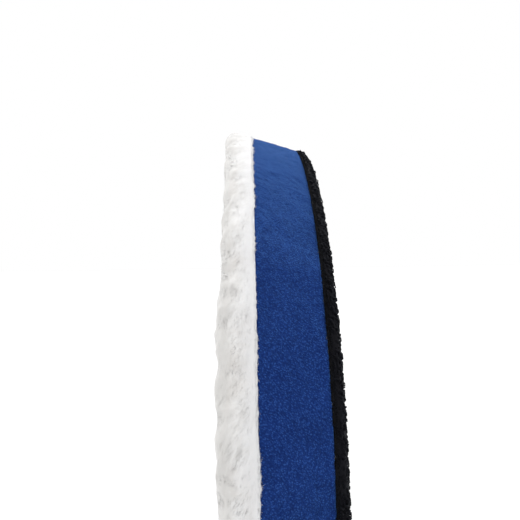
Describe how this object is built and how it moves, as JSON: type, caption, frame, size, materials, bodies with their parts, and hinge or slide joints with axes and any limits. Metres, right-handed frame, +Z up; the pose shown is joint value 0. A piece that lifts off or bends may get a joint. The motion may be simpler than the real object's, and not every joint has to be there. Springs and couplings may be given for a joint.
{
  "type": "polishing pad",
  "caption": "Round laminated car polishing pad: short white microfibre pile on a tapered blue foam interlayer, with a black hook-and-loop backing.",
  "frame": {"origin": "centre of the loop face, where the pad meets a machine's backing plate", "axes": "+X is the pad's spin axis, out of the loop face towards the machine; the working pile looks along -X; +Z is up with the pad on edge, as shown"},
  "size_m": [0.019, 0.1514, 0.1514],
  "materials": {
    "loop_nylon": "brushed black nylon loops, matte",
    "loop_knit": "black warp-knit ground, matte",
    "hot_melt": "translucent hot-melt film, satin",
    "blue_foam": "fine open-cell polyurethane foam, matte",
    "binder": "acrylic back coat, matte",
    "pile_knit": "white warp-knit ground, matte",
    "microfibre_pile": "soft white cut microfibre pile, matte with a slight sheen"
  },
  "bodies": {
    "root": {"loop_pile": "loop_nylon", "loop_ground": "loop_knit", "back_adhesive": "hot_melt", "foam_interlayer": "blue_foam", "face_adhesive": "hot_melt", "pile_binder": "binder", "pile_ground": "pile_knit", "pile_tufts": "microfibre_pile"}
  },
  "joints": []
}
